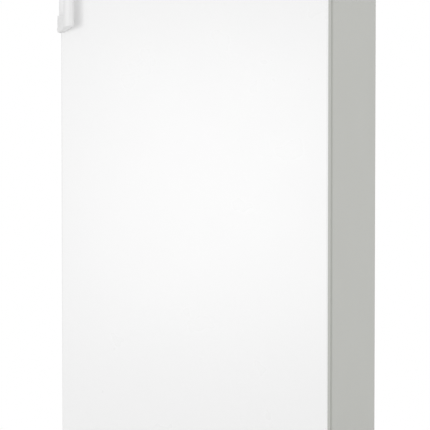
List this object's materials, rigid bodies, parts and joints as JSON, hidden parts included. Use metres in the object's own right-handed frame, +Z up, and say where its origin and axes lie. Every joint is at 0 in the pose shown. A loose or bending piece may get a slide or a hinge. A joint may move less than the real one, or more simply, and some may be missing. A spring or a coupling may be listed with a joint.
{
  "type": "upright freezer",
  "caption": "Tall upright storage freezer with a solid white door, a lever bar handle at the left edge, silver-grey sides, wire shelves and a rear condenser.",
  "frame": {"origin": "on the floor, on the cabinet's centre plane and half way between the front of the handle and the back of the wall spacers", "axes": "+Z up; the door faces -Y; +X to the right seen from the front, towards the hinges"},
  "size_m": [0.6084, 0.71, 1.64],
  "materials": {
    "white_lacquer": "satin gloss lacquer",
    "silver_lacquer": "satin silver-grey lacquer",
    "grey_plastic": "satin",
    "smoked_window": "gloss",
    "black_plastic": "matt",
    "zinc_steel": "zinc-coated",
    "rigid_foam": "matt",
    "white_liner": "satin",
    "grey_rubber": "matt",
    "black_rubber": "matt",
    "natural_acetal": "satin",
    "white_plastic": "satin",
    "bright_steel": "ground",
    "white_coated_steel": "dip-coated",
    "black_enamel": "satin enamel",
    "copper": "drawn copper"
  },
  "bodies": {
    "cabinet": {"back_panel": "zinc_steel", "base_frame": "zinc_steel", "cabinet_foam": "rigid_foam", "compressor": "black_enamel", "compressor_mount_1": "black_rubber", "compressor_mount_2": "black_rubber", "compressor_mount_3": "black_rubber", "compressor_mount_4": "black_rubber", "compressor_plate": "zinc_steel", "condenser": "black_enamel", "control_fascia": "grey_plastic", "discharge_pipe": "copper", "display_window": "smoked_window", "evaporator_riser": "white_coated_steel", "evaporator_shelf_1": "white_coated_steel", "evaporator_shelf_2": "white_coated_steel", "evaporator_shelf_3": "white_coated_steel", "evaporator_shelf_4": "white_coated_steel", "filter_drier": "copper", "hinge_bracket_lower": "zinc_steel", "hinge_bracket_upper": "zinc_steel", "inner_liner": "white_liner", "mains_inlet": "black_plastic", "niche_wall": "zinc_steel", "plinth_grille": "grey_plastic", "rail_lower": "zinc_steel", "rail_upper": "zinc_steel", "side_panel_left": "silver_lacquer", "side_panel_right": "silver_lacquer", "suction_pipe": "copper", "terminal_cover": "black_plastic", "top_panel": "silver_lacquer", "wall_spacer_left": "black_plastic", "wall_spacer_right": "black_plastic"},
    "door": {"door_cap_lower": "grey_plastic", "door_cap_upper": "grey_plastic", "door_foam": "rigid_foam", "door_liner": "white_liner", "door_seal": "grey_rubber", "door_skin": "white_lacquer", "door_trim_left": "silver_lacquer", "door_trim_right": "silver_lacquer", "handle_base_strip": "white_plastic", "handle_foot_lower": "white_plastic", "handle_foot_upper": "white_plastic", "handle_pin_lower": "bright_steel", "handle_pin_upper": "bright_steel", "hinge_bush_lower": "natural_acetal", "hinge_bush_upper": "natural_acetal"},
    "handle": {"handle_lever": "white_plastic"},
    "pushers": {"handle_pusher_lower": "white_plastic", "handle_pusher_upper": "white_plastic"},
    "knob": {"thermostat_knob": "black_plastic"},
    "rocker": {"power_rocker": "black_plastic"},
    "fast_freeze_key": {"fast_freeze_button": "black_plastic"},
    "alarm_key": {"alarm_button": "black_plastic"},
    "left_foot": {"foot_left": "black_plastic"},
    "right_foot": {"foot_right": "black_plastic"},
    "left_roller": {"roller_left": "black_plastic"},
    "right_roller": {"roller_right": "black_plastic"}
  },
  "joints": [
    {"name": "door_swing", "type": "hinge", "parent": "cabinet", "child": "door", "pos_m": [0.286, -0.287, 0.844], "axis": [0, 0, 1], "range_deg": [0, 115]},
    {"name": "handle_pull", "type": "hinge", "parent": "door", "child": "handle", "pos_m": [-0.2965, -0.319, 1.388], "axis": [0, 0, -1], "range_deg": [0, 15], "stiffness_Nm_per_rad": 3},
    {"name": "pusher_slide", "type": "slide", "parent": "door", "child": "pushers", "axis": [0, 1, 0], "range_m": [0, 0.0021]},
    {"name": "knob_turn", "type": "hinge", "parent": "cabinet", "child": "knob", "pos_m": [0.12, -0.31, 1.604], "axis": [0, 1, 0], "range_deg": [0, 270]},
    {"name": "rocker_tip", "type": "hinge", "parent": "cabinet", "child": "rocker", "pos_m": [-0.215, -0.305, 1.604], "axis": [1, 0, 0], "range_deg": [0, 12]},
    {"name": "fast_freeze_press", "type": "slide", "parent": "cabinet", "child": "fast_freeze_key", "axis": [0, 1, 0], "range_m": [0, 0.0015], "stiffness_N_per_m": 300},
    {"name": "alarm_press", "type": "slide", "parent": "cabinet", "child": "alarm_key", "axis": [0, 1, 0], "range_m": [0, 0.0015], "stiffness_N_per_m": 300},
    {"name": "left_foot_turn", "type": "hinge", "parent": "cabinet", "child": "left_foot", "pos_m": [-0.262, -0.205, 0.03], "axis": [0, 0, 1], "continuous": true},
    {"name": "right_foot_turn", "type": "hinge", "parent": "cabinet", "child": "right_foot", "pos_m": [0.262, -0.205, 0.03], "axis": [0, 0, 1], "continuous": true},
    {"name": "left_roller_spin", "type": "hinge", "parent": "cabinet", "child": "left_roller", "pos_m": [-0.255, 0.262, 0.015], "axis": [1, 0, 0], "continuous": true},
    {"name": "right_roller_spin", "type": "hinge", "parent": "cabinet", "child": "right_roller", "pos_m": [0.255, 0.262, 0.015], "axis": [1, 0, 0], "continuous": true}
  ],
  "couplings": [
    {"joint": "pusher_slide", "follows": "handle_pull", "m_per_rad": 0.008}
  ]
}
